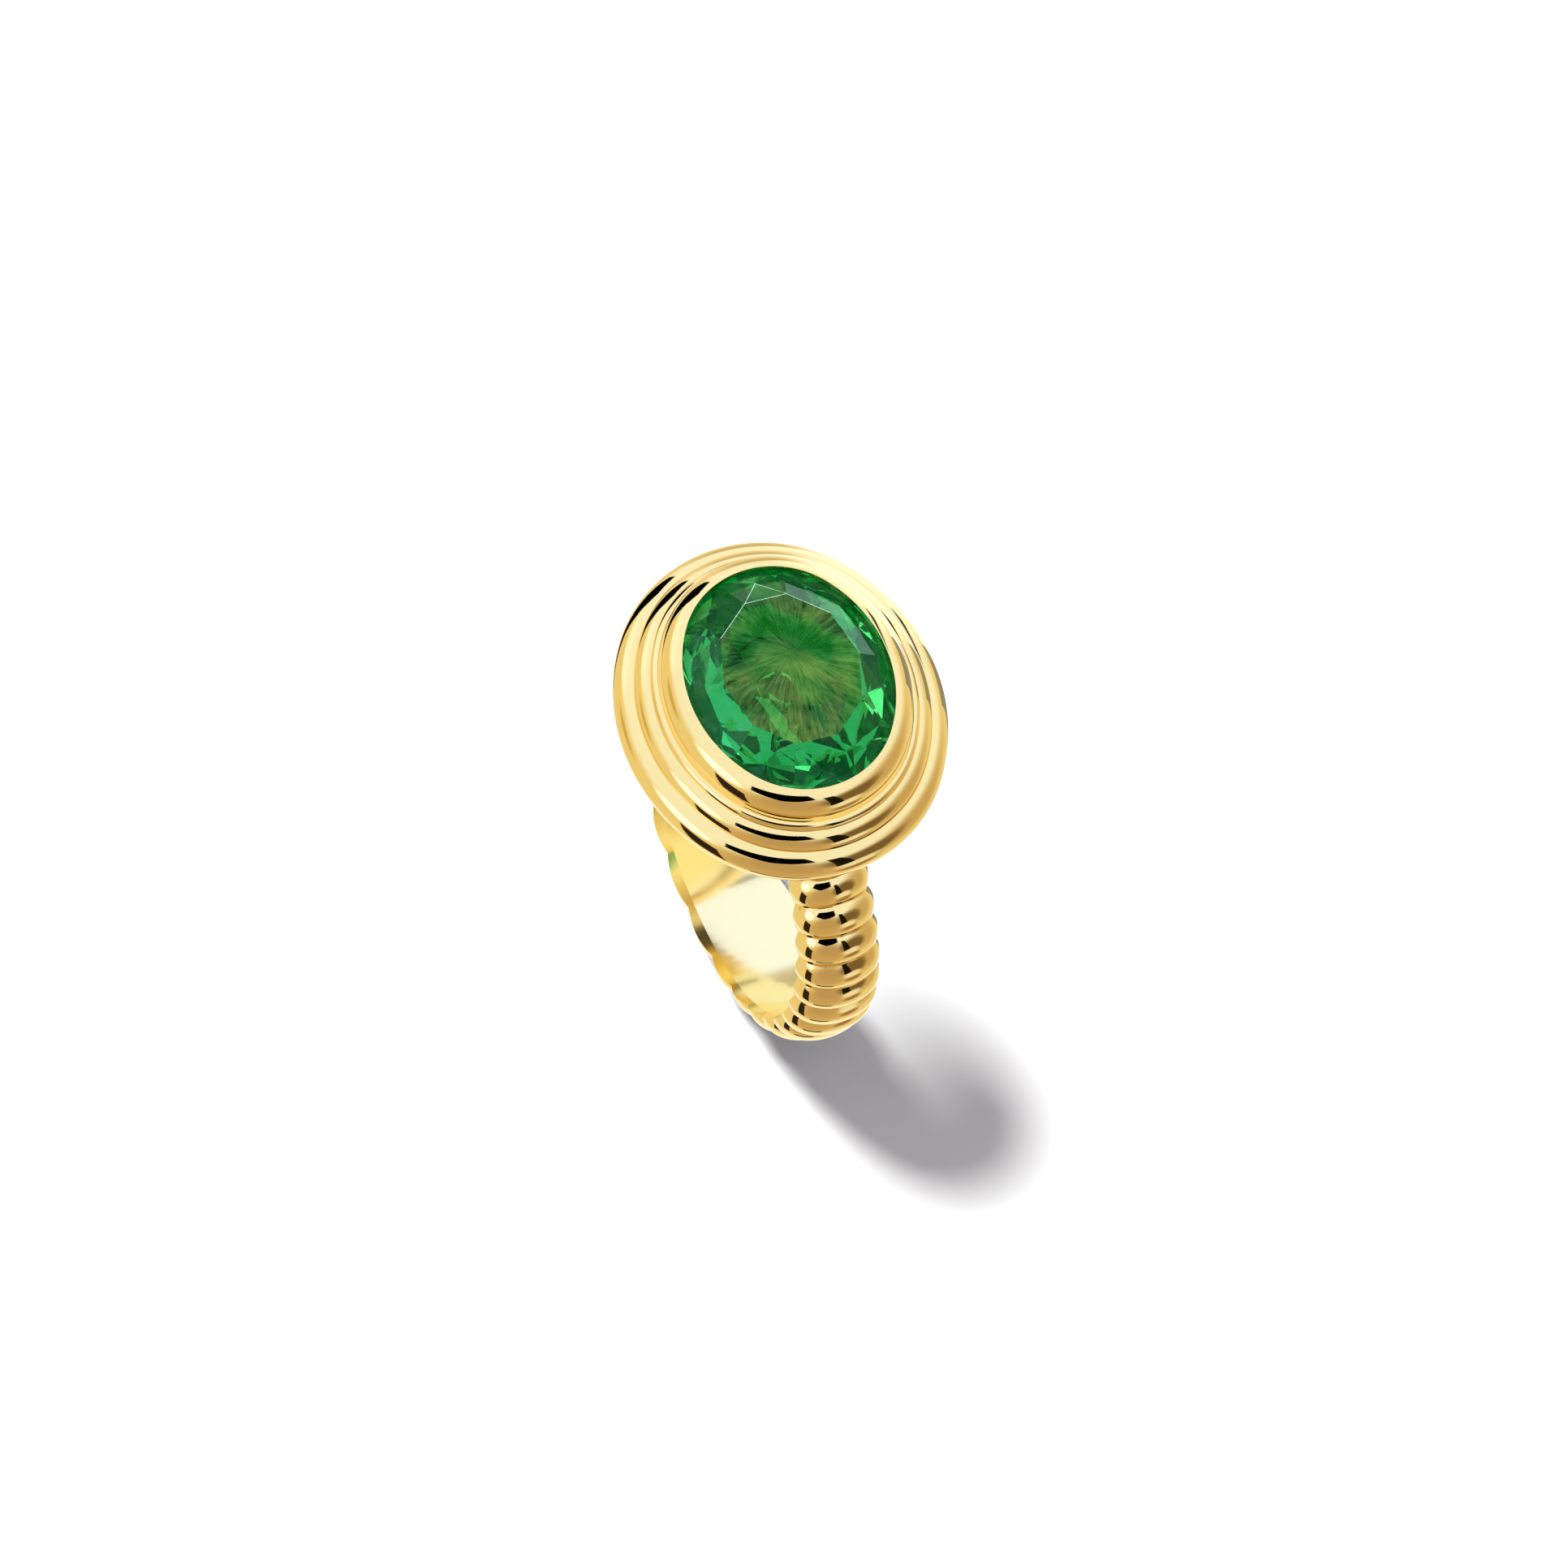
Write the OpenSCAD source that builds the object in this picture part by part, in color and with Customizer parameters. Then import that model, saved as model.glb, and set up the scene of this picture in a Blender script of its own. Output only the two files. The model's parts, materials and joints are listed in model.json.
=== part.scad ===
// Cocktail ring: gadrooned band, ribbed oval head, one oval faceted green stone.
// X runs across the finger, Y along the finger, Z up through the stone. Units are mm.
// The origin is the centre of the finger hole. The ring stands on the band's lowest ribs.

/* [Band] */
// inner radius of the finger hole
finger_r = 8.6; // [7.4:0.05:10.5]
// thickness of the smooth inner sleeve
sleeve_t = 0.4; // [0.3:0.05:0.6]
// thickness of the band at a rib crest, sleeve included
band_t = 1.5; // [1.3:0.05:2]
// width of the band at the bottom of the ring
width_bottom = 4.6; // [3.2:0.1:6]
// width of the band at the top of the ring
width_top = 3.2; // [3:0.1:5]
// ribs on each side of the ring, counted up from the bottom
ribs_side = 15; // [13:1:15]
// angle one rib takes up on the upper part of the band
rib_pitch = 9; // [8:0.25:9.25]
// extra angle the broad ribs at the bottom take up in all
rib_spread = 21; // [0:1:24]
// how fast the ribs settle to their even pitch, in ribs
rib_settle = 2.1; // [1:0.1:4]
// depth of the grooves between the ribs
groove_depth = 0.29; // [0.1:0.01:0.6]

/* [Oval] */
// radius of the two end arcs of the stone's opening
end_r = 3.87; // [3.4:0.01:6]
// distance between the centres of an end arc and a long arc
arc_step = 2.1; // [1:0.05:4]

/* [Head, heights from the plate's underside] */
// height of the oval plate's underside above the finger hole
head_lift = 0.45; // [0.45:0.05:1]
// thickness of the oval plate
plate_t = 0.85; // [0.7:0.05:1]
// radius of the outer rib's section
outer_r = 0.92; // [0.86:0.02:1]
// outer rib: distance of its centre out from the opening, and its height
outer_c = [1.65, 0.5];
// radius of the middle rib's section
middle_r = 0.8; // [0.74:0.02:0.84]
// middle rib: distance of its centre out from the opening, and its height
middle_c = [1.0, 1.32];
// radius of the fine bead's section
bead_r = 0.28; // [0.24:0.01:0.34]
// fine bead: distance of its centre out from the opening, and its height
bead_c = [0.9, 2.13];
// outer face of the bezel wall, out from the opening
bezel_out = 0.83; // [0.7:0.01:0.9]
// inner face of the bezel wall, out from the opening, where the stone's girdle sits
bezel_in = 0.3; // [0.25:0.01:0.4]
// radius of the bezel's rounded shoulder, and the height of that arc's centre
bezel_r = 1.0; // [0.9:0.05:1.1]
shoulder_z = 2.75;

/* [Stone, heights from the plate's underside] */
// underside of the girdle
girdle_z = 2.9; // [2.8:0.05:3]
// thickness of the girdle
girdle_t = 0.2; // [0.1:0.05:0.25]
// height of the table
table_z = 4.55; // [4.2:0.05:5]
// height of the ring of star points on the crown
star_z = 3.95; // [3.8:0.05:4.1]
// height of the culet
culet_z = 0.2; // [0.2:0.05:1]
// turn of the facet pattern, degrees
facet_turn = -4; // [-18:1:18]

/* [Hidden] */
$fn = 96;
gold = [0.93, 0.76, 0.42];
sleeve_r = finger_r + sleeve_t;
crest_r = finger_r + band_t;
plate_z = finger_r + head_lift;
// the end arcs are centred on X and the long arcs on Y, and they meet along 3-4-5 directions
cx = 0.6 * arc_step;
cy = 0.8 * arc_step;
side_r = end_r + arc_step;
turn = atan2(cy, cx);
// half length and half width of the stone's opening
open_a = cx + end_r;
open_b = side_r - cy;
// band: angle from the bottom to rib line k, and the half angle left open under the head
function line_at(k) = rib_pitch * k + rib_spread * (1 - exp(-k / rib_settle));
gap = 180 - line_at(ribs_side);
// half width of the band at height z
function half_w(z) = (width_bottom + (width_top - width_bottom) * (z + crest_r) / (2 * crest_r)) / 2;
// the sleeve stops this far inside the band's edge
sleeve_inset = 0.45;
// facets round the stone
stone_n = 10;
facet = 360 / stone_n;

function sgn(v) = v < 0 ? -1 : 1;

// a point of the oval, o out from the opening, at ellipse angle t
function oval_pt(t, o, z) =
  let (n = atan2(open_a * sin(t), open_b * cos(t)))
  abs(sin(n)) < sin(turn)
    ? [sgn(cos(n)) * cx + (end_r + o) * cos(n), (end_r + o) * sin(n), z]
    : [(side_r + o) * cos(n), -sgn(sin(n)) * cy + (side_r + o) * sin(n), z];

// one arc of the oval: a full turn about x, y, cut to the wedge between two directions
module arc_of(centre, r, dir_1, dir_2) {
  reach = 4;
  intersection() {
    translate([centre[0], centre[1], 0])
      rotate_extrude()
        translate([r, 0])
          children();
    translate([0, 0, -2])
      linear_extrude(9)
        polygon([centre, centre + reach * dir_1, centre + reach * dir_2]);
  }
}

// sweeps a section round the oval: section x is out from the opening, section y is height
module oval_sweep() {
  translate([0, 0, plate_z])
    for (s = [1, -1]) {
      arc_of([s * cx, 0], end_r, [s * 3, -s * 4], [s * 3, s * 4])
        children();
      arc_of([0, -s * cy], side_r, [s * 3, s * 4], [-s * 3, s * 4])
        children();
    }
}

// 10-fold oval brilliant: table, stars, kites and split girdle facets over a shallow pavilion
module emerald() {
  g = 6 * stone_n;
  function el(t, r, z) = [open_a * r * cos(t), open_b * r * sin(t), z];
  table = [for (i = [0:stone_n - 1]) el(facet_turn + facet * (i + 0.5), 0.68, table_z)];
  stars = [for (i = [0:stone_n - 1]) el(facet_turn + facet * i, 0.88, star_z)];
  rim_t = [for (i = [0:g - 1]) oval_pt(facet_turn + 360 * i / g, bezel_in, girdle_z + girdle_t)];
  rim_b = [for (i = [0:g - 1]) oval_pt(facet_turn + 360 * i / g, bezel_in, girdle_z)];
  lower = [for (i = [0:stone_n - 1]) el(facet_turn + facet * i, 0.37, culet_z + 0.9)];
  points = concat(table, stars, rim_t, rim_b, lower, [[0, 0, culet_z]]);
  // where each ring starts in the list of points
  s0 = stone_n;
  t0 = 2 * stone_n;
  b0 = t0 + g;
  p0 = b0 + g;
  culet = p0 + stone_n;
  function nx(i) = (i + 1) % stone_n;
  function rt(i) = t0 + (i + g) % g;
  function rb(i) = b0 + (i + g) % g;
  faces = concat(
    [[for (i = [stone_n - 1:-1:0]) i]],
    [for (i = [0:stone_n - 1]) [s0 + i, (i + stone_n - 1) % stone_n, i]],
    [for (i = [0:stone_n - 1]) [s0 + i, i, rt(6 * i + 3)]],
    [for (i = [0:stone_n - 1]) [i, s0 + nx(i), rt(6 * i + 3)]],
    [for (i = [0:stone_n - 1], j = [-3:2]) [s0 + i, rt(6 * i + j + 1), rt(6 * i + j)]],
    [for (i = [0:g - 1]) [rt(i), rt(i + 1), rb(i + 1), rb(i)]],
    [for (i = [0:stone_n - 1], j = [-3:2]) [p0 + i, rb(6 * i + j), rb(6 * i + j + 1)]],
    [for (i = [0:stone_n - 1]) [p0 + i, rb(6 * i + 3), p0 + nx(i)]],
    [for (i = [0:stone_n - 1]) [culet, p0 + i, p0 + nx(i)]]
  );
  color([0.05, 0.5, 0.25, 0.8])
    translate([0, 0, plate_z])
      polyhedron(points, faces);
}

// space the stone takes in the bezel's section
module stone_space() {
  rim = girdle_z + girdle_t;
  polygon([
    [-2, girdle_z - 1.2], [bezel_in, girdle_z - 1.2], [bezel_in, rim], [0, rim + 0.29], [-2, rim + 2.2]
  ]);
}

// bezel: a straight wall with a quarter-round shoulder leaning over the stone
module bezel_collar() {
  color(gold)
    oval_sweep()
      difference() {
        union() {
          translate([bezel_in, plate_t])
            square([bezel_out - bezel_in, shoulder_z - plate_t]);
          intersection() {
            translate([bezel_out - bezel_r, shoulder_z])
              circle(bezel_r);
            translate([0, shoulder_z])
              square(2);
          }
        }
        stone_space();
      }
}

// ledge soldered inside the bezel, which carries the stone's girdle
module bearing_ledge() {
  depth = 0.65;
  color(gold)
    oval_sweep()
      polygon([
        [bezel_in - depth, girdle_z - 0.85], [bezel_in, girdle_z - 0.85],
        [bezel_in, girdle_z - 0.01], [bezel_in - depth, girdle_z - 0.35]
      ]);
}

// fine bead round the foot of the bezel's shoulder
module bead_wire() {
  color(gold)
    oval_sweep()
      difference() {
        translate(bead_c)
          circle(bead_r);
        translate([bezel_out - 2, bead_c[1] - 1])
          square(2);
        translate(middle_c)
          circle(middle_r);
      }
}

module middle_rib() {
  color(gold)
    oval_sweep()
      difference() {
        translate(middle_c)
          circle(middle_r);
        translate([bezel_out - 2, middle_c[1] - 2])
          square([2, 4]);
        translate([0, plate_t - 2])
          square(2);
      }
}

module outer_rib() {
  color(gold)
    oval_sweep()
      difference() {
        translate(outer_c)
          circle(outer_r);
        translate(middle_c)
          circle(middle_r);
        translate([middle_c[0] - 2, outer_c[1] - 2])
          square([2, 4]);
      }
}

// oval plate that carries the bezel, open in the middle under the stone
module gallery_plate() {
  inward = 2.7;
  color(gold)
    oval_sweep()
      translate([-inward, 0])
        square([inward + middle_c[0], plate_t]);
}

// keystone that closes the band under the head, with a long light opening below the stone
module saddle_bridge() {
  inner = finger_r - 0.3;
  slot_x = 0.6;
  slot_r = 0.55;
  color(gold)
    difference() {
      rotate([90, 0, 0])
        linear_extrude(width_top - 0.1, center = true)
          polygon([
            [-inner * sin(gap), inner * cos(gap)], [inner * sin(gap), inner * cos(gap)],
            [plate_z * tan(gap), plate_z], [-plate_z * tan(gap), plate_z]
          ]);
      rotate([90, 0, 0])
        cylinder(r = finger_r, h = 10, center = true);
      for (x = [-slot_x, slot_x])
        translate([x, 0, finger_r - 1])
          cylinder(r = slot_r, h = 3);
      translate([-slot_x, -slot_r, finger_r - 1])
        cube([2 * slot_x, 2 * slot_r, 3]);
    }
}

// gadrooned outer body of the band, with a channel inside for the sleeve
module shank_band() {
  // stations along each rib, and points over the outer half of the section
  per = 6;
  m = 14;
  // share of a circle's width that a rib's rounding takes up
  arc = 0.65;
  stations = 2 * ribs_side * per;
  // slack round the sleeve, and how far the side faces draw in at a groove
  slack = 0.003;
  side_draw = 0.18;
  // radius where the sides turn into the band's inner rim
  rim_r = finger_r + 0.02;
  // how deep the groove is at v, from 0 to 1 across a rib
  function cut(v) =
    1 - (sqrt(1 - pow(arc * (2 * v - 1), 2)) - sqrt(1 - arc * arc)) / (1 - sqrt(1 - arc * arc));
  function bulge(c) = pow(abs(c), 0.95);
  // the band's ends stop at the plate's underside
  function under_plate(r, d) = cos(d) < -0.5 ? min(r, -plate_z / cos(d)) : r;
  // one section: angle d from the bottom of the ring, groove share q
  function section(d, q) =
    let (
      w = half_w(-(finger_r + 0.5) * cos(d)),
      l = w - sleeve_inset + slack,
      rise = crest_r - rim_r - 0.02 - groove_depth * q,
      pts = concat(
        [[-l, rim_r], [-l, sleeve_r + slack], [l, sleeve_r + slack], [l, rim_r]],
        [for (j = [0:m])
          let (p = 90 - 180 * j / m)
          [(w - side_draw * q) * sgn(sin(p)) * bulge(sin(p)),
            rim_r + 0.02 + rise * (j == 0 || j == m ? 0 : bulge(cos(p)))]]
      )
    )
    [for (p = pts)
      let (r = under_plate(p[1], d))
      [r * sin(d), p[0], -r * cos(d)]];
  rings = [for (i = [0:stations])
    let (k = i / per - ribs_side)
    section(sgn(k) * line_at(abs(k)), cut(k - floor(k)))];
  n = m + 5;
  points = [for (r = rings) for (p = r) p];
  faces = concat(
    [for (i = [0:stations - 1], j = [0:n - 1])
      [i * n + j, i * n + (j + 1) % n, (i + 1) * n + (j + 1) % n]],
    [for (i = [0:stations - 1], j = [0:n - 1])
      [i * n + j, (i + 1) * n + (j + 1) % n, (i + 1) * n + j]],
    [[for (j = [n - 1:-1:0]) j]],
    [[for (j = [0:n - 1]) stations * n + j]]
  );
  color(gold)
    polyhedron(points, faces);
}

// smooth inner sleeve: the true finger hole
module shank_sleeve() {
  low = half_w(-crest_r) - sleeve_inset;
  high = half_w(crest_r) - sleeve_inset;
  open_r = 2 * sleeve_r;
  color(gold)
    difference() {
      intersection() {
        rotate([90, 0, 0])
          difference() {
            cylinder(r = sleeve_r, h = 12, center = true);
            cylinder(r = finger_r, h = 14, center = true);
          }
        rotate([90, 0, 90])
          linear_extrude(24, center = true)
            polygon([[-low, -crest_r], [low, -crest_r], [high, crest_r], [-high, crest_r]]);
      }
      rotate([90, 0, 0])
        linear_extrude(14, center = true)
          polygon([[0, 0], [open_r * sin(gap), open_r * cos(gap)], [-open_r * sin(gap), open_r * cos(gap)]]);
    }
}

emerald();
bezel_collar();
bearing_ledge();
bead_wire();
middle_rib();
outer_rib();
gallery_plate();
saddle_bridge();
shank_band();
shank_sleeve();
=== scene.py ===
"""Looks of a cocktail ring: gadrooned gold band, stepped oval head, faceted green stone.

Metres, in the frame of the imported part: X across the finger, Y along it, Z up through the stone.
Section sizes are written in millimetres and scaled once, by MM.
"""

import json
import math
import random

import bmesh
import bpy
import numpy as np
from mathutils import Matrix, Vector


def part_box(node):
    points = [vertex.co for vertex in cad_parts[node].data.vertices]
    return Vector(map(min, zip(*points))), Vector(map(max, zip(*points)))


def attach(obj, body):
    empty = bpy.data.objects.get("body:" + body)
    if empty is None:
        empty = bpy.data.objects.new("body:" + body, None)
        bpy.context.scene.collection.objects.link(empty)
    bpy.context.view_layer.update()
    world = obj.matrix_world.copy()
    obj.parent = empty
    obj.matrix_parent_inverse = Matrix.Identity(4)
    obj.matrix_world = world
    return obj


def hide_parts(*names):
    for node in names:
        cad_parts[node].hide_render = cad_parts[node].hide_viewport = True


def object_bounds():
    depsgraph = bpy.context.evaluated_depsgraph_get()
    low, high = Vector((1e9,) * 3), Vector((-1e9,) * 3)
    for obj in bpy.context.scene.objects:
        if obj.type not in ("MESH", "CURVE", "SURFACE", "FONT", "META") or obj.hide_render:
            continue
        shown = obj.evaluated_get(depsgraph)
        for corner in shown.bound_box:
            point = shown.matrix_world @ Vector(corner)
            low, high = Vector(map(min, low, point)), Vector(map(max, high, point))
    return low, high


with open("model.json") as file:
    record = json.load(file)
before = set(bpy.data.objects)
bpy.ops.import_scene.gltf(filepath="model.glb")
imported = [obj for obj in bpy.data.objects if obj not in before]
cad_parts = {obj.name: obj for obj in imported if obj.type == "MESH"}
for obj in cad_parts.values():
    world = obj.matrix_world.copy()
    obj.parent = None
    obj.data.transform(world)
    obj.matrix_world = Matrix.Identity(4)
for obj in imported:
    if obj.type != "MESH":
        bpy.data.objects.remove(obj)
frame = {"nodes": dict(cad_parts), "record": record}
cad_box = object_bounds()

MM = 0.001

# Driving sizes, in mm. The finger hole, the floor and the plate are read from the frame.
FINGER_R = frame["record"]["mounts"][0]["dims"]["r_mm"]
FLOOR_Z = cad_box[0].z / MM
PLATE_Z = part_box("gallery_plate")[0].z / MM
PLATE_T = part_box("gallery_plate")[1].z / MM - PLATE_Z
BAND_T = 1.5
SLEEVE_T = 0.4
CREST_R = FINGER_R + BAND_T
SLEEVE_R = FINGER_R + SLEEVE_T
WIDTH_BOTTOM = 4.6
WIDTH_TOP = 3.2
SLEEVE_INSET = 0.45
RIBS_SIDE = 15
GROOVE_DEPTH = 0.25
SIDE_DRAW = 0.18  # how far a groove pulls the band's edge in
CROWN = 0.95  # power that shapes the band's rounded back
RIM_CLEAR = 0.001  # the band's rim stands this far outside the finger hole
SLEEVE_CLEAR = 0.003  # and its recess this far outside the sleeve
RIM_EDGE = 0.02  # upright edge between the rim and the rounded back

# The stone's opening: four arcs that meet along 3-4-5 directions
END_R = 3.87
ARC_STEP = 2.1
CX = 0.6 * ARC_STEP
CY = 0.8 * ARC_STEP
SIDE_R = END_R + ARC_STEP
OPEN_A = CX + END_R
OPEN_B = SIDE_R - CY

# Sections of the head, as distance out from the opening and height above the plate's underside
OUTER_R, OUTER_C = 0.92, (1.65, 0.5)
MIDDLE_R, MIDDLE_C = 0.8, (1.0, 1.32)
BEAD_R, BEAD_C = 0.28, (0.9, 2.13)
BEZEL_OUT, BEZEL_IN = 0.83, 0.3
SHOULDER_R, SHOULDER_Z = 1.0, 2.75
GIRDLE_Z, GIRDLE_T = 2.9, 0.2
BURNISHED_RISE = 0.29  # metal over the girdle at the opening
LEDGE_REACH, LEDGE_DEPTH = 0.65, 0.85
PLATE_REACH_IN, PLATE_REACH_OUT = 2.7, 1.0
TABLE_Z, STAR_Z, CULET_Z = 4.55, 3.78, 0.2
STONE_N = 10
FACET_TURN = math.radians(-4)
# Width of the bevels on the stone's edges that carry a painted highlight
PAINTED_HIGHLIGHT_EDGE_WIDTH = 0.016

# The stone's crystal
STONE_IOR = 1.58
STONE_DEPTH_COLOUR, STONE_DEPTH_DENSITY = (0.0, 0.66, 0.26), 310
# Painted glow: the stone gives off a faint green light of its own, though it is no lamp.
PAINTED_STONE_GLOW = (0.0, 0.8, 0.25)
STREAK_CENTRE = (-0.7, 0.3)
STREAKS_ALONG = 75  # how fast a streak changes with distance from the centre, per metre


# ---------------------------------------------------------------- meshes


def new_piece(name, verts, faces, material, smooth_below=None):
    """A mesh object in the row frame from points in mm. Edges over smooth_below degrees stay sharp."""
    mesh = bpy.data.meshes.new(name)
    mesh.from_pydata([tuple(float(x) * MM for x in v) for v in verts], [], faces)
    mesh.validate()
    mesh.materials.append(material)
    if smooth_below is not None:
        mesh.shade_smooth()
        mesh.set_sharp_from_angle(angle=math.radians(smooth_below))
    piece = bpy.data.objects.new(name, mesh)
    bpy.context.scene.collection.objects.link(piece)
    return piece


def add_piece(piece, slot, *nodes):
    """Rides the piece on the ring, and hides the CAD nodes it stands for."""
    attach(piece, "root")
    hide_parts(*nodes)
    return piece


def grid_faces(rows, columns, loop_rows):
    """Quads of rows of points, where each row is a closed loop. loop_rows closes the rows too."""
    faces = []
    for i in range(rows if loop_rows else rows - 1):
        for j in range(columns):
            a, b = i * columns, ((i + 1) % rows) * columns
            k = (j + 1) % columns
            faces.append((a + j, a + k, b + k, b + j))
    if not loop_rows:
        faces.append(tuple(range(columns - 1, -1, -1)))
        faces.append(tuple(range((rows - 1) * columns, rows * columns)))
    return faces


def rounded(corners, steps=5):
    """A closed outline from (x, y, radius) corners, each rounded by an arc that touches both its sides."""
    outline = []
    n = len(corners)
    for i, (x, y, r) in enumerate(corners):
        p = np.array((x, y), float)
        if r == 0:
            outline.append(p)
            continue
        to_a = np.array(corners[i - 1][:2], float) - p
        to_b = np.array(corners[(i + 1) % n][:2], float) - p
        ua, ub = to_a / np.linalg.norm(to_a), to_b / np.linalg.norm(to_b)
        half = math.acos(max(-1.0, min(1.0, float(ua @ ub)))) / 2
        reach = min(r / math.tan(half), 0.45 * np.linalg.norm(to_a), 0.45 * np.linalg.norm(to_b))
        bisector = (ua + ub) / np.linalg.norm(ua + ub)
        centre = p + bisector * reach / math.cos(half)
        start, end = p + ua * reach - centre, p + ub * reach - centre
        sweep = math.atan2(start[0] * end[1] - start[1] * end[0], float(start @ end))
        for k in range(steps + 1):
            a = sweep * k / steps
            turn = np.array(((math.cos(a), -math.sin(a)), (math.sin(a), math.cos(a))))
            outline.append(centre + turn @ start)
    return outline


def arc(centre, r, first, last, steps):
    """Points of an arc from angle first to angle last, in degrees, with no corner rounding."""
    angles = np.radians(np.linspace(first, last, steps + 1))
    return [(centre[0] + r * math.cos(a), centre[1] + r * math.sin(a), 0) for a in angles]


def oval_point(normal, out):
    """The point out mm outside the opening where the oval's outward normal has this angle."""
    c, s = math.cos(normal), math.sin(normal)
    if abs(s) < 0.8:
        return math.copysign(CX, c) + (END_R + out) * c, (END_R + out) * s
    return (SIDE_R + out) * c, -math.copysign(CY, s) + (SIDE_R + out) * s


def oval_sweep(name, section, material, steps=288, smooth_below=35):
    """Sweeps a closed section round the oval. The section is (out, height) above the plate's underside."""
    verts = []
    for i in range(steps):
        normal = 2 * math.pi * i / steps
        for out, height in section:
            x, y = oval_point(normal, out)
            verts.append((x, y, PLATE_Z + height))
    return new_piece(name, verts, grid_faces(steps, len(section), True), material, smooth_below)


# ---------------------------------------------------------------- materials


def node_material(name):
    """A new material, and its node tree with the shader's nodes in it."""
    material = bpy.data.materials.new(name)
    material.use_nodes = True
    return material, material.node_tree.nodes, material.node_tree.links


def gold_material(name, base, roughness):
    """Polished yellow gold: faint polishing streaks and cloudy changes of colour and gloss."""
    material, nodes, links = node_material(name)
    shader = nodes["Principled BSDF"]
    shader.inputs["Metallic"].default_value = 1.0
    place = nodes.new("ShaderNodeTexCoord")
    cloud = nodes.new("ShaderNodeTexNoise")
    cloud.inputs["Scale"].default_value = 420
    cloud.inputs["Detail"].default_value = 3
    tint = nodes.new("ShaderNodeValToRGB")
    tint.color_ramp.elements[0].position = 0.3
    tint.color_ramp.elements[0].color = (*[c * 0.97 for c in base], 1)
    tint.color_ramp.elements[1].position = 0.7
    tint.color_ramp.elements[1].color = (*base, 1)
    gloss = nodes.new("ShaderNodeMapRange")
    gloss.inputs["To Min"].default_value = roughness * 0.7
    gloss.inputs["To Max"].default_value = roughness * 1.4
    fine = nodes.new("ShaderNodeTexNoise")
    fine.inputs["Scale"].default_value = 5200
    fine.inputs["Detail"].default_value = 2
    bump = nodes.new("ShaderNodeBump")
    bump.inputs["Strength"].default_value = 0.02
    bump.inputs["Distance"].default_value = 0.00001
    links.new(place.outputs["Object"], cloud.inputs["Vector"])
    links.new(place.outputs["Object"], fine.inputs["Vector"])
    links.new(cloud.outputs["Fac"], tint.inputs["Fac"])
    links.new(tint.outputs["Color"], shader.inputs["Base Color"])
    links.new(cloud.outputs["Fac"], gloss.inputs["Value"])
    links.new(gloss.outputs["Result"], shader.inputs["Roughness"])
    links.new(fine.outputs["Fac"], bump.inputs["Height"])
    links.new(bump.outputs["Normal"], shader.inputs["Normal"])
    return material


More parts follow.
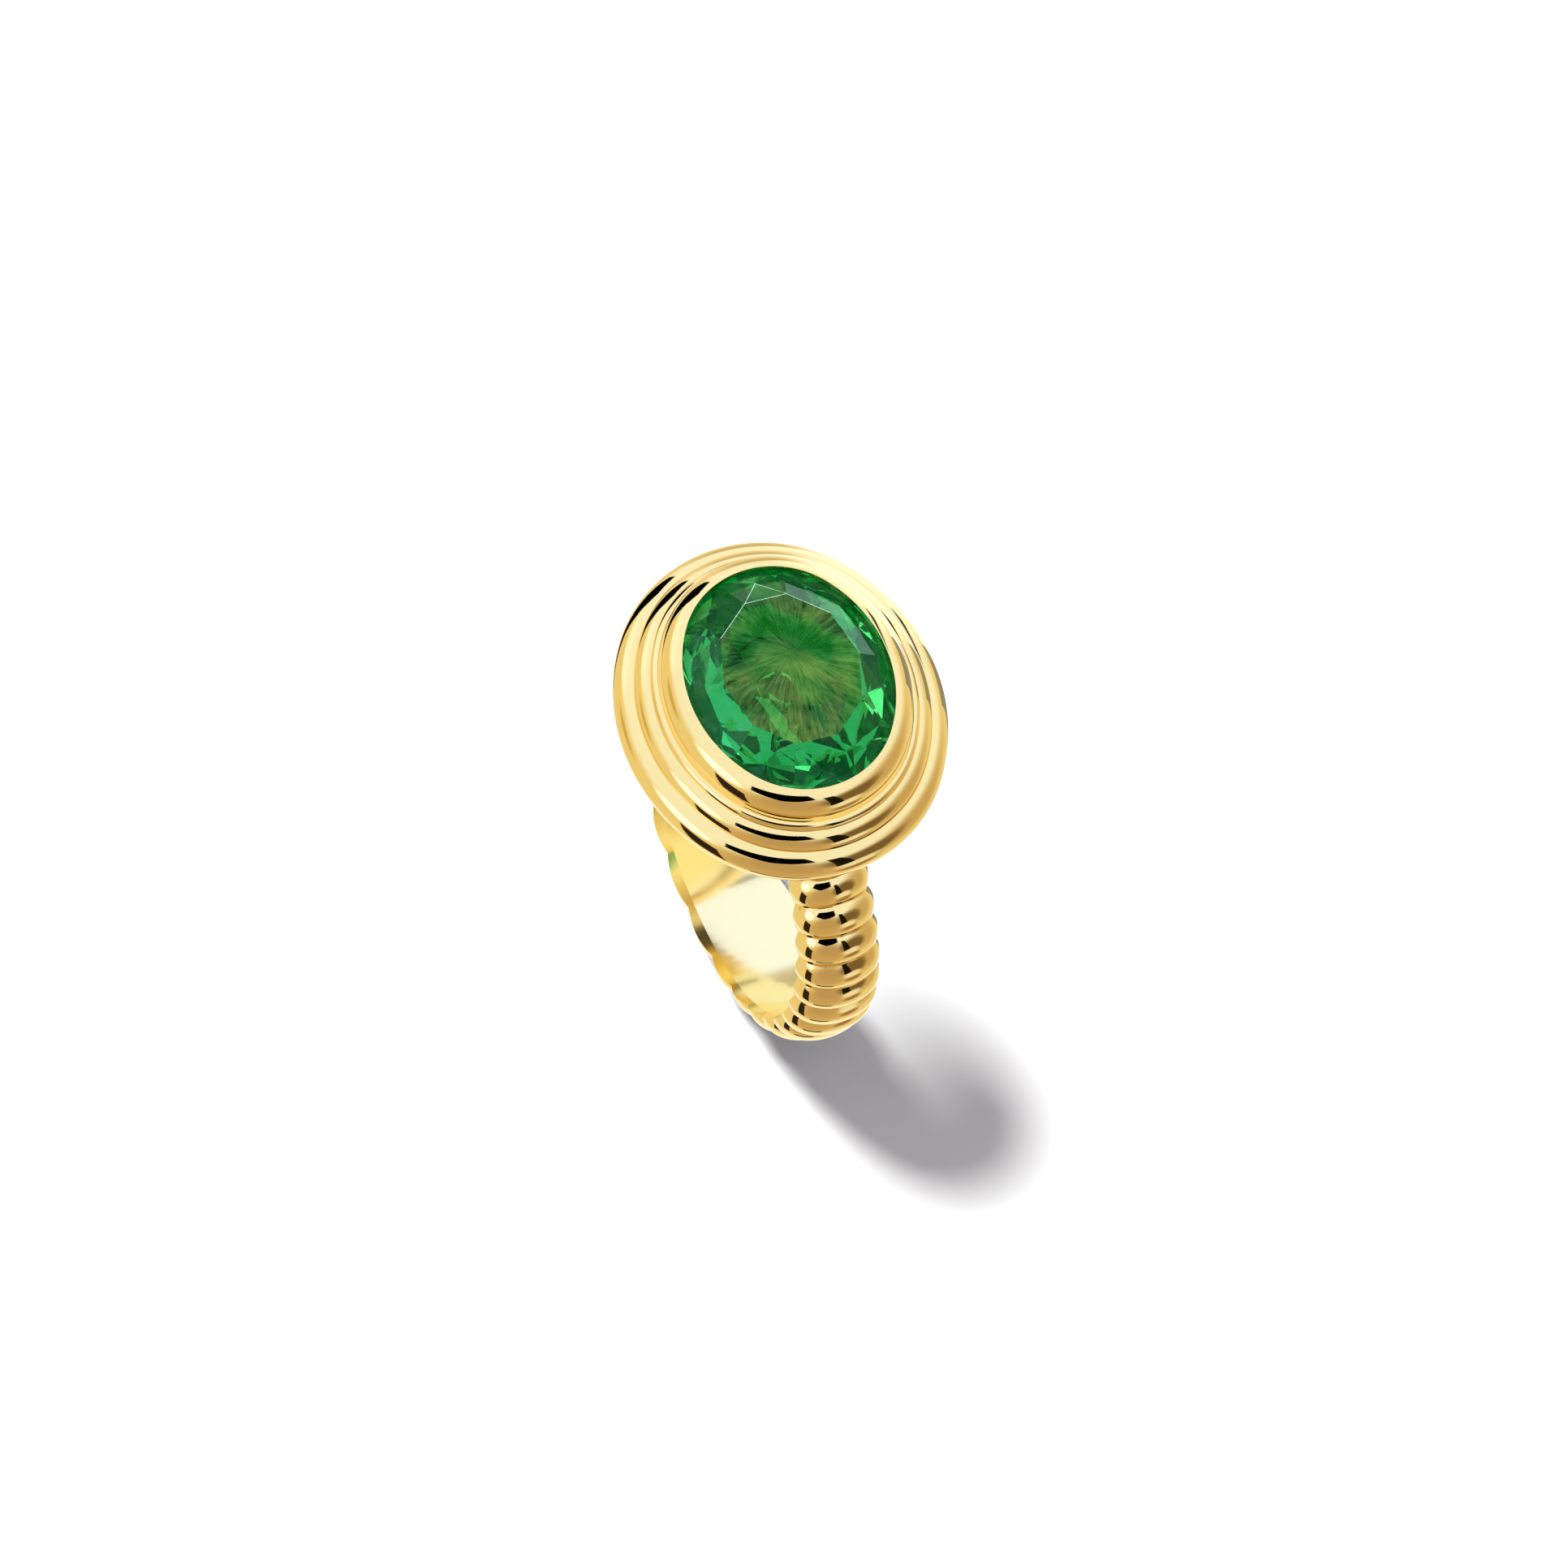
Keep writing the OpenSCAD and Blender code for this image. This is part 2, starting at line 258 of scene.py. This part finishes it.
def emerald_material(name, haze_low, haze_high, dark, light, mirror, painted_glow_strength):
    """Clear green crystal with cloudy growth, its haze between haze_low and haze_high, and a painted glow of
    its own.

    Fine streaks spread from STREAK_CENTRE. They run round a circle of directions, so no seam shows.
    """
    material, nodes, links = node_material(name)
    shader = nodes["Principled BSDF"]
    shader.inputs["Roughness"].default_value = 0.0
    shader.inputs["IOR"].default_value = STONE_IOR
    shader.inputs["Specular Tint"].default_value = (*mirror, 1)
    # Painted glow: a faint green emission that lights the crystal from within.
    shader.inputs["Emission Color"].default_value = (*PAINTED_STONE_GLOW, 1)
    shader.inputs["Emission Strength"].default_value = painted_glow_strength
    place = nodes.new("ShaderNodeTexCoord")
    middle = nodes.new("ShaderNodeVectorMath")
    middle.operation = "SUBTRACT"
    middle.inputs[1].default_value = tuple(c * MM for c in (*STREAK_CENTRE, PLATE_Z + TABLE_Z))
    apart = nodes.new("ShaderNodeSeparateXYZ")
    turn = nodes.new("ShaderNodeMath")
    turn.operation = "ARCTAN2"
    far = nodes.new("ShaderNodeVectorMath")
    far.operation = "LENGTH"
    round_x = nodes.new("ShaderNodeMath")
    round_x.operation = "SINE"
    round_y = nodes.new("ShaderNodeMath")
    round_y.operation = "COSINE"
    ray = nodes.new("ShaderNodeCombineXYZ")
    along = nodes.new("ShaderNodeMath")
    along.operation = "MULTIPLY"
    along.inputs[1].default_value = STREAKS_ALONG
    streak = nodes.new("ShaderNodeTexNoise")
    streak.inputs["Scale"].default_value = 14
    streak.inputs["Detail"].default_value = 9
    streak.inputs["Distortion"].default_value = 0.9
    streak.inputs["Roughness"].default_value = 0.7
    cloud = nodes.new("ShaderNodeTexNoise")
    cloud.inputs["Scale"].default_value = 260
    cloud.inputs["Detail"].default_value = 6
    cloud.inputs["Distortion"].default_value = 1.4
    both = nodes.new("ShaderNodeMath")
    both.operation = "MULTIPLY"
    share = nodes.new("ShaderNodeMapRange")
    share.inputs["From Min"].default_value = 0.16
    share.inputs["From Max"].default_value = 0.35
    share.inputs["To Min"].default_value = 1 - haze_low
    share.inputs["To Max"].default_value = 1 - haze_high
    tint = nodes.new("ShaderNodeValToRGB")
    tint.color_ramp.elements[0].position = 0.38
    tint.color_ramp.elements[0].color = (*dark, 1)
    tint.color_ramp.elements[1].position = 0.62
    tint.color_ramp.elements[1].color = (*light, 1)
    depth = nodes.new("ShaderNodeVolumeAbsorption")
    depth.inputs["Color"].default_value = (*STONE_DEPTH_COLOUR, 1)
    depth.inputs["Density"].default_value = STONE_DEPTH_DENSITY
    links.new(place.outputs["Object"], middle.inputs[0])
    links.new(middle.outputs["Vector"], apart.inputs["Vector"])
    links.new(middle.outputs["Vector"], far.inputs[0])
    links.new(apart.outputs["X"], turn.inputs[0])
    links.new(apart.outputs["Y"], turn.inputs[1])
    links.new(turn.outputs["Value"], round_x.inputs[0])
    links.new(turn.outputs["Value"], round_y.inputs[0])
    links.new(far.outputs["Value"], along.inputs[0])
    links.new(round_x.outputs["Value"], ray.inputs["X"])
    links.new(round_y.outputs["Value"], ray.inputs["Y"])
    links.new(along.outputs["Value"], ray.inputs["Z"])
    links.new(ray.outputs["Vector"], streak.inputs["Vector"])
    links.new(place.outputs["Object"], cloud.inputs["Vector"])
    links.new(streak.outputs["Fac"], both.inputs[0])
    links.new(cloud.outputs["Fac"], both.inputs[1])
    links.new(both.outputs["Value"], share.inputs["Value"])
    links.new(share.outputs["Result"], shader.inputs["Transmission Weight"])
    links.new(cloud.outputs["Fac"], tint.inputs["Fac"])
    links.new(tint.outputs["Color"], shader.inputs["Base Color"])
    links.new(depth.outputs["Volume"], nodes["Material Output"].inputs["Volume"])
    return material


# ---------------------------------------------------------------- head


def circle_crossing(centre_a, r_a, centre_b, r_b):
    """The crossing of two circles that lies to the upper right."""
    a, b = np.array(centre_a), np.array(centre_b)
    d = np.linalg.norm(b - a)
    along = (r_a**2 - r_b**2 + d**2) / (2 * d)
    across = math.sqrt(r_a**2 - along**2)
    u = (b - a) / d
    options = [a + u * along + s * across * np.array((-u[1], u[0])) for s in (1, -1)]
    return max(options, key=lambda p: p[0] + p[1])


def angle_at(point, centre):
    """Direction from the centre to the point, in degrees."""
    return math.degrees(math.atan2(point[1] - centre[1], point[0] - centre[0]))


def bezel_section():
    """Upright wall with a quarter-round shoulder that leans over the stone's girdle."""
    rim = GIRDLE_Z + GIRDLE_T
    centre = (BEZEL_OUT - SHOULDER_R, SHOULDER_Z)
    top = math.degrees(math.acos(-centre[0] / SHOULDER_R))
    shoulder = arc(centre, SHOULDER_R, 0, top, 28)
    tip = shoulder.pop()
    return rounded(
        [(BEZEL_IN, PLATE_T, 0.02), (BEZEL_OUT, PLATE_T, 0.02)]
        + shoulder
        + [(tip[0], tip[1], 0.05), (0, rim + BURNISHED_RISE, 0.04), (BEZEL_IN, rim, 0)]
    )


def bead_section():
    """Fine round wire between the bezel's wall and the middle rib."""
    meet = circle_crossing(BEAD_C, BEAD_R, MIDDLE_C, MIDDLE_R)
    wall = math.degrees(math.acos((BEZEL_OUT - BEAD_C[0]) / BEAD_R))
    foot = (BEZEL_OUT, MIDDLE_C[1] + math.sqrt(MIDDLE_R**2 - (BEZEL_OUT - MIDDLE_C[0]) ** 2), 0)
    return rounded(arc(BEAD_C, BEAD_R, angle_at(meet, BEAD_C), wall, 20) + [foot])


def middle_section():
    """Round rib that stands on the plate against the bezel's wall."""
    low = math.degrees(math.asin((PLATE_T - MIDDLE_C[1]) / MIDDLE_R))
    high = math.degrees(math.acos((BEZEL_OUT - MIDDLE_C[0]) / MIDDLE_R))
    return rounded(arc(MIDDLE_C, MIDDLE_R, low, high, 40) + [(BEZEL_OUT, PLATE_T, 0)])


def outer_section():
    """Larger round rib, hollowed where the middle rib sits in it."""
    meet = circle_crossing(OUTER_C, OUTER_R, MIDDLE_C, MIDDLE_R)
    low = -math.degrees(math.acos((MIDDLE_C[0] - OUTER_C[0]) / OUTER_R))
    outside = arc(OUTER_C, OUTER_R, low, angle_at(meet, OUTER_C), 64)
    inside = arc(MIDDLE_C, MIDDLE_R, angle_at(meet, MIDDLE_C), -90, 14)[1:]
    return rounded(outside + inside)


def make_head(gold, painted_bright_gold):
    add_piece(oval_sweep("bezel_collar_fine", bezel_section(), gold), "gold", "bezel_collar")
    add_piece(oval_sweep("bead_wire_fine", bead_section(), gold), "gold", "bead_wire")
    add_piece(oval_sweep("middle_rib_fine", middle_section(), gold), "gold", "middle_rib")
    add_piece(oval_sweep("outer_rib_fine", outer_section(), gold), "gold", "outer_rib")
    ledge = rounded([
        (BEZEL_IN - LEDGE_REACH, GIRDLE_Z - LEDGE_DEPTH, 0.05),
        (BEZEL_IN, GIRDLE_Z - LEDGE_DEPTH, 0.03),
        (BEZEL_IN, GIRDLE_Z - 0.01, 0),
        (BEZEL_IN - LEDGE_REACH, GIRDLE_Z - 0.35, 0.06),
    ])
    # The ledge and the plate take the paler gold: painted light, brightening surfaces inside and under the
    # head.
    add_piece(oval_sweep("bearing_ledge_fine", ledge, painted_bright_gold), "gold", "bearing_ledge")
    plate = rounded([
        (-PLATE_REACH_IN, 0, 0.12),
        (PLATE_REACH_OUT, 0, 0.03),
        (PLATE_REACH_OUT, PLATE_T, 0.03),
        (-PLATE_REACH_IN, PLATE_T, 0.12),
    ])
    add_piece(oval_sweep("gallery_plate_fine", plate, painted_bright_gold), "gold", "gallery_plate")


# ---------------------------------------------------------------- stone


def make_stone(material, painted_table_material, highlight_edge_material):
    """Oval brilliant cut: table, stars, kites and split girdle facets over a pavilion with a culet.

    The pavilion's corners are moved a little at random, as in a stone cut by hand.
    """
    per = 12
    rim_n = per * STONE_N

    def ring(n, shift, share, height):
        return [
            (OPEN_A * share * math.cos(a), OPEN_B * share * math.sin(a), PLATE_Z + height)
            for a in (FACET_TURN + 2 * math.pi * (i + shift) / n for i in range(n))
        ]

    def rim(height):
        points = []
        for i in range(rim_n):
            a = FACET_TURN + 2 * math.pi * i / rim_n
            normal = math.atan2(OPEN_A * math.sin(a), OPEN_B * math.cos(a))
            points.append((*oval_point(normal, BEZEL_IN - 0.002), PLATE_Z + height))
        return points

    table = ring(STONE_N, 0.5, 0.68, TABLE_Z)
    stars = ring(STONE_N, 0, 0.86, STAR_Z)
    uneven = random.Random(11)

    def cut_by_hand(points, reach):
        return [tuple(v + uneven.uniform(-reach, reach) for v in point) for point in points]

    upper = cut_by_hand(ring(2 * STONE_N, 0.25, 0.80, CULET_Z + 2.0), 0.15)
    waist = cut_by_hand(ring(STONE_N, 0, 0.60, CULET_Z + 1.42), 0.13)
    lower = cut_by_hand(ring(STONE_N, 0.5, 0.32, CULET_Z + 0.66), 0.12)
    verts = table + stars + rim(GIRDLE_Z + GIRDLE_T) + rim(GIRDLE_Z) + upper + waist + lower
    verts.append((0.3, -0.1, PLATE_Z + CULET_Z))
    s0, t0 = STONE_N, 2 * STONE_N
    b0 = t0 + rim_n
    u0 = b0 + rim_n
    p0 = u0 + 2 * STONE_N
    q0 = p0 + STONE_N
    culet = q0 + STONE_N
    faces = [tuple(range(STONE_N))]
    for i in range(STONE_N):
        after, before = (i + 1) % STONE_N, (i - 1) % STONE_N
        mid = per * i + per // 2
        faces.append((s0 + i, i, before))
        faces.append((s0 + i, t0 + mid, i))
        faces.append((i, t0 + mid, s0 + after))
        low, high, next_low = u0 + 2 * i, u0 + 2 * i + 1, u0 + 2 * after
        faces.append((low, high, b0 + mid))
        faces.append((high, next_low, b0 + mid))
        faces.append((p0 + i, high, low))
        faces.append((p0 + i, p0 + after, high))
        faces.append((p0 + after, next_low, high))
        faces.append((q0 + i, p0 + after, p0 + i))
        faces.append((q0 + i, q0 + after, p0 + after))
        faces.append((culet, q0 + after, q0 + i))
        for j in range(-per // 2, per // 2):
            k, k2 = (per * i + j) % rim_n, (per * i + j + 1) % rim_n
            faces.append((s0 + i, t0 + k, t0 + k2))
            faces.append((low, b0 + k2, b0 + k))
            faces.append((t0 + k, b0 + k, b0 + k2, t0 + k2))
    stone = new_piece("emerald_cut", verts, faces, material)
    # Painted light: the table facet alone gets an olive, hazier copy of the stone's material, standing in for
    # the light seen through the table.
    stone.data.materials.append(painted_table_material)
    stone.data.polygons[0].material_index = 1
    stone.data.materials.append(highlight_edge_material)
    bm = bmesh.new()
    bm.from_mesh(stone.data)
    bm.verts.ensure_lookup_table()
    # Painted highlight: the edges round one star facet, and the table's edges beside it, are bevelled in a
    # paler, brighter-glowing material so they look lit
    painted_highlight_edges = {(3, 4), (4, 5), (5, 6), (4, s0 + 5), (5, s0 + 5)}
    crown = [edge for edge in bm.edges if tuple(sorted(v.index for v in edge.verts)) in painted_highlight_edges]
    bmesh.ops.bevel(bm, geom=crown, offset=PAINTED_HIGHLIGHT_EDGE_WIDTH * MM, segments=1, affect="EDGES", material=2)
    bm.to_mesh(stone.data)
    bm.free()
    return add_piece(stone, "stone", "emerald")


# ---------------------------------------------------------------- band


def line_at(k):
    """Angle, in degrees from the bottom of the band, of the groove k ribs up its side."""
    return 9 * k + 21 * (1 - math.exp(-k / 2.1))


def half_width(height):
    """Half of the band's width at this height over the finger's centre."""
    return (WIDTH_BOTTOM + (WIDTH_TOP - WIDTH_BOTTOM) * (height + CREST_R) / (2 * CREST_R)) / 2


def rib_height(v):
    """Height of a rib's round back: 0 in the groove, whose bottom is a little rounded, and 1 on the crest."""
    share, soft = 0.57, 0.05
    low = math.sqrt(1 - share * share)
    h = (math.sqrt(1 - (share * (2 * v - 1)) ** 2) - low) / (1 - low)
    return (math.sqrt(h * h + soft * soft) - soft) / (math.sqrt(1 + soft * soft) - soft)


def band_section(angle, height):
    """One closed section of the band at an angle from the bottom, where the ribs stand this high."""
    groove = 1 - height
    w = half_width(-(FINGER_R + 0.5) * math.cos(angle))
    inset = w - SLEEVE_INSET
    rim_r, recess_r = FINGER_R + RIM_CLEAR, SLEEVE_R + SLEEVE_CLEAR
    rise = CREST_R - rim_r - RIM_EDGE - GROOVE_DEPTH * groove
    outline = [(-inset, rim_r), (-inset, recess_r), (inset, recess_r), (inset, rim_r)]
    points = 44
    for j in range(points + 1):
        p = math.pi / 2 - math.pi * j / points
        side = math.sin(p)
        across = math.copysign(abs(side) ** CROWN, side) if abs(side) > 1e-9 else 0.0
        up = abs(math.cos(p)) ** CROWN if 0 < j < points else 0.0
        outline.append(((w - SIDE_DRAW * groove) * across, rim_r + RIM_EDGE + rise * up))
    return outline


def make_band(gold, painted_bright_gold):
    """The band from groove to groove, cut off flat under the plate. Its rim strips get the sleeve's paler
    gold, painted light that brightens them.
    """
    per = 18
    verts, rows = [], 0
    for i in range(-RIBS_SIDE * per, RIBS_SIDE * per + 1):
        k, part = divmod(abs(i), per)
        v = (1 - math.cos(math.pi * part / per)) / 2
        angle = math.copysign(math.radians(line_at(k + v)), i)
        reach = -PLATE_Z / math.cos(angle) if math.cos(angle) < -0.5 else 1e9
        for y, r in band_section(angle, rib_height(v)):
            r = min(r, reach)
            verts.append((r * math.sin(angle), y, -r * math.cos(angle)))
        rows += 1
    columns = len(verts) // rows
    band = new_piece("shank_band_fine", verts, grid_faces(rows, columns, False), gold, 35)
    # The rim strips take the paler gold: painted light, brightening them beside the finger hole.
    band.data.materials.append(painted_bright_gold)
    for face in band.data.polygons[: (rows - 1) * columns]:
        if face.index % columns in (3, columns - 1):
            face.material_index = 1
    return add_piece(band, "gold", "shank_band")


def make_sleeve(gold):
    """Smooth liner of the finger hole."""
    rows, verts = 361, []
    limit = math.radians(line_at(RIBS_SIDE))
    for i in range(rows):
        angle = -limit + 2 * limit * i / (rows - 1)
        w = half_width(-(FINGER_R + 0.5) * math.cos(angle)) - SLEEVE_INSET
        for y, r in ((-w, FINGER_R), (w, FINGER_R), (w, SLEEVE_R), (-w, SLEEVE_R)):
            verts.append((r * math.sin(angle), y, -r * math.cos(angle)))
    columns = len(verts) // rows
    sleeve = new_piece("shank_sleeve_fine", verts, grid_faces(rows, columns, False), gold, 35)
    return add_piece(sleeve, "gold", "shank_sleeve")


# ---------------------------------------------------------------- stage


CAMERA_ANGLES = (54.738, 64.196, 14.565)  # azimuth, elevation and roll, in degrees
CAMERA_DISTANCE, CAMERA_TARGET = 600, (0, 1.093, 1.593)
SENSOR_WIDTH, LENS = 36, 329.51


def make_camera():
    azimuth, elevation, roll = (math.radians(a) for a in CAMERA_ANGLES)
    distance, target = CAMERA_DISTANCE * MM, Vector(CAMERA_TARGET) * MM
    back = Vector((
        math.sin(azimuth) * math.cos(elevation),
        -math.cos(azimuth) * math.cos(elevation),
        math.sin(elevation),
    ))
    level = Vector((math.cos(azimuth), math.sin(azimuth), 0))
    up = back.cross(level)
    right = math.cos(roll) * level + math.sin(roll) * up
    top = -math.sin(roll) * level + math.cos(roll) * up
    data = bpy.data.cameras.new("camera")
    data.sensor_width = SENSOR_WIDTH
    data.lens = LENS
    data.clip_start, data.clip_end = 0.01, 10
    camera = bpy.data.objects.new("camera", data)
    camera.matrix_world = Matrix.Translation(target + back * distance) @ Matrix(
        (right, top, back)
    ).transposed().to_4x4()
    bpy.context.scene.collection.objects.link(camera)
    bpy.context.scene.camera = camera


def make_sun(towards, spread, strength):
    """The one shadow-casting light: as wide as a large soft box, and kept out of reflections."""
    data = bpy.data.lights.new("key", "SUN")
    data.angle = math.radians(spread)
    data.energy = strength
    light = bpy.data.objects.new("key", data)
    light.rotation_mode = "QUATERNION"
    light.rotation_quaternion = Vector(towards).to_track_quat("Z", "Y")
    light.visible_glossy = False
    light.visible_transmission = False
    bpy.context.scene.collection.objects.link(light)


def make_floor():
    """Plain white floor under the band, out of sight of the gold."""
    size = 3.0
    z = FLOOR_Z * MM
    mesh = bpy.data.meshes.new("floor")
    mesh.from_pydata(
        [(-size, -size, z), (size, -size, z), (size, size, z), (-size, size, z)], [], [(0, 1, 2, 3)]
    )
    material, nodes, _ = node_material("floor_white")
    nodes["Principled BSDF"].inputs["Base Color"].default_value = (0.92, 0.92, 0.92, 1)
    nodes["Principled BSDF"].inputs["Roughness"].default_value = 0.9
    nodes["Principled BSDF"].inputs["Specular IOR Level"].default_value = 0.0
    mesh.materials.append(material)
    floor = bpy.data.objects.new("floor", mesh)
    bpy.context.scene.collection.objects.link(floor)
    floor.visible_glossy = False


def direction(azimuth, elevation):
    """Unit vector. Azimuth 0 is -Y and 90 is +X, elevation is above the horizon, both in degrees."""
    a, e = math.radians(azimuth), math.radians(elevation)
    return Vector((math.sin(a) * math.cos(e), -math.cos(a) * math.cos(e), math.sin(e)))


def make_card(name, distance, corners, radiance):
    """A flat studio card that only reflections and the stone see. Corners are (azimuth, elevation)."""
    mesh = bpy.data.meshes.new(name)
    mesh.from_pydata([direction(*c) * distance for c in corners], [], [tuple(range(len(corners)))])
    material, nodes, links = node_material(name)
    nodes.remove(nodes["Principled BSDF"])
    glow = nodes.new("ShaderNodeEmission")
    glow.inputs["Color"].default_value = (*radiance, 1)
    links.new(glow.outputs["Emission"], nodes["Material Output"].inputs["Surface"])
    mesh.materials.append(material)
    card = bpy.data.objects.new(name, mesh)
    card.visible_camera = False
    card.visible_diffuse = False
    card.visible_shadow = False
    bpy.context.scene.collection.objects.link(card)


# Soft patches of the studio: azimuth, elevation, inner and outer half angle, radiance. Later ones cover.
GLOWS = [
    (0, 90, 52, 84, (0.97, 1.08, 1.28)),
    (0, -90, 15, 38, (1.08, 1.10, 1.02)),
    (250, 35, 20, 60, (1.02, 1.14, 1.42)),
    (330, -4, 3, 13, (0.66, 0.50, 0.20)),
    (318, 8, 2, 8, (0.95, 0.80, 0.35)),
    (300, 22, 6, 20, (1.15, 1.25, 1.5)),
    (142, 8, 10, 48, (0.60, 0.47, 0.27)),
    (65, -20, 16, 52, (0.60, 0.45, 0.26)),
    (70, 12, 8, 40, (0.52, 0.40, 0.25)),
    (115, 15, 13, 31, (0.20, 0.135, 0.07)),
    (109, -10, 4, 16, (0.92, 0.95, 0.95)),
    (112, -32, 3, 14, (0.35, 0.22, 0.12)),
    (11, 15, 7, 20, (1.3, 1.5, 2.2)),
    (223, 10, 10, 24, (1.25, 1.45, 1.8)),
    (216, -22, 8, 24, (1.25, 1.4, 1.7)),
    (212, -50, 8, 24, (1.1, 1.3, 2.0)),
    (250, -6, 4, 18, (0.62, 0.55, 0.42)),
]

# Crisp cards: distance in metres, corners as azimuth and elevation, and radiance
CARDS = [
    (
        "card_front",
        0.12,
        [(32, 48), (60, 58), (86, 61), (88, 42), (75, 36), (60, 30), (34, 31)],
        (0.0, 0.0, 0.0),
    ),
    ("card_right_edge", 0.45, [(95, 43), (104, 42), (107, 2), (97, -2)], (0.01, 0.008, 0.005)),
    (
        "card_left",
        0.45,
        [
            (268, 22), (274, 30), (281, 20), (289, 0), (295, -26),
            (299, -50), (290, -48), (279, -26), (271, 0),
        ],
        (0.0, 0.0, 0.0),
    ),
    ("card_back", 0.45, [(188, 0), (204, -6), (207, -50), (190, -46)], (0.30, 0.32, 0.34)),
    ("card_low_left", 0.45, [(12, -6), (31, -8), (36, -50), (14, -50)], (0.03, 0.02, 0.02)),
    ("card_rim", 0.45, [(208, 46), (212, 46), (215, 22), (211, 22)], (0.05, 0.04, 0.03)),
    (
        "card_top",
        0.0575,
        [(215, 70), (225, 76), (245, 76), (255, 70), (245, 64), (225, 64)],
        (0.20, 0.15, 0.09),
    ),
    ("card_low", 0.45, [(50, -53), (90, -53), (90, -60), (50, -60)], (0.0, 0.0, 0.0)),
]
BASE_GLOW = (0.86, 0.78, 0.50)  # the studio between its patches
FILL = 0.44  # light on the floor from all round, which sets how dark the shadow is
BACKDROP, BACKDROP_COLOUR = 1.1, (1, 0.965, 0.985)
KEY_TOWARDS, KEY_SPREAD, KEY_STRENGTH = (-13.0, -5.9, 20.5), 27, 10.0


def make_world():
    """A soft tent of light: plain for the camera and the floor, patched with GLOWS for reflections."""
    world = bpy.data.worlds.new("studio")
    world.use_nodes = True
    nodes, links = world.node_tree.nodes, world.node_tree.links
    place = nodes.new("ShaderNodeTexCoord")
    colour = nodes.new("ShaderNodeRGB")
    colour.outputs[0].default_value = (*BASE_GLOW, 1)
    colour = colour.outputs[0]
    for azimuth, elevation, inner, outer, radiance in GLOWS:
        dot = nodes.new("ShaderNodeVectorMath")
        dot.operation = "DOT_PRODUCT"
        dot.inputs[1].default_value = direction(azimuth, elevation)
        share = nodes.new("ShaderNodeMapRange")
        share.interpolation_type = "SMOOTHSTEP"
        share.inputs["From Min"].default_value = math.cos(math.radians(outer))
        share.inputs["From Max"].default_value = math.cos(math.radians(inner))
        mix = nodes.new("ShaderNodeMix")
        mix.data_type = "RGBA"
        mix.inputs["B"].default_value = (*radiance, 1)
        links.new(place.outputs["Generated"], dot.inputs[0])
        links.new(dot.outputs["Value"], share.inputs["Value"])
        links.new(share.outputs["Result"], mix.inputs["Factor"])
        links.new(colour, mix.inputs["A"])
        colour = mix.outputs["Result"]
    path = nodes.new("ShaderNodeLightPath")
    plain = nodes.new("ShaderNodeMath")
    plain.operation = "MAXIMUM"
    strength = nodes.new("ShaderNodeMapRange")
    strength.inputs["To Min"].default_value = FILL
    strength.inputs["To Max"].default_value = BACKDROP
    plain_light = nodes.new("ShaderNodeBackground")
    plain_light.inputs["Color"].default_value = (*BACKDROP_COLOUR, 1)
    studio_light = nodes["Background"]
    choose = nodes.new("ShaderNodeMixShader")
    links.new(path.outputs["Is Camera Ray"], plain.inputs[0])
    links.new(path.outputs["Is Diffuse Ray"], plain.inputs[1])
    links.new(path.outputs["Is Camera Ray"], strength.inputs["Value"])
    links.new(strength.outputs["Result"], plain_light.inputs["Strength"])
    links.new(colour, studio_light.inputs["Color"])
    links.new(plain.outputs["Value"], choose.inputs["Fac"])
    links.new(studio_light.outputs["Background"], choose.inputs[1])
    links.new(plain_light.outputs["Background"], choose.inputs[2])
    links.new(choose.outputs["Shader"], nodes["World Output"].inputs["Surface"])
    bpy.context.scene.world = world


make_camera()
make_floor()
make_world()
for card in CARDS:
    make_card(*card)
gold = gold_material("polished_gold", (1.0, 0.76, 0.33), 0.05)
# Painted light: a paler, brighter copy of the gold for the inner surfaces, so they look brightly lit.
painted_bright_gold = gold_material("sleeve_gold", (1.0, 0.87, 0.50), 0.10)
make_head(gold, painted_bright_gold)
make_stone(
    emerald_material(
        "emerald", 0.0, 0.012, (0.30, 0.95, 0.62), (0.62, 1.0, 0.76), (0.12, 0.75, 0.35), 0.018
    ),
    # Painted light for the table facet: olive and hazier than the rest of the stone.
    emerald_material(
        "emerald_table", 0.0, 0.095, (0.13, 0.64, 0.22), (0.46, 0.70, 0.17), (0.35, 0.75, 0.30), 0.018
    ),
    # Painted highlight: a pale, hazier, brighter-glowing copy of the stone for the edges that look lit.
    emerald_material(
        "emerald_edge", 0.10, 0.30, (0.60, 0.95, 0.75), (0.80, 1.0, 0.90), (1.0, 1.0, 1.0), 0.05
    ),
)
make_band(gold, painted_bright_gold)
make_sleeve(painted_bright_gold)
# The CAD saddle under the head takes the paler gold too: painted light.
saddle = frame["nodes"]["saddle_bridge"]
saddle.data.materials.clear()
saddle.data.materials.append(painted_bright_gold)
make_sun(KEY_TOWARDS, KEY_SPREAD, KEY_STRENGTH)

scene = bpy.context.scene
scene.view_settings.view_transform = "Standard"
scene.cycles.max_bounces = 24
scene.cycles.glossy_bounces = 10
scene.cycles.transmission_bounces = 20
scene.cycles.volume_bounces = 0
scene.cycles.caustics_reflective = False
scene.cycles.caustics_refractive = False
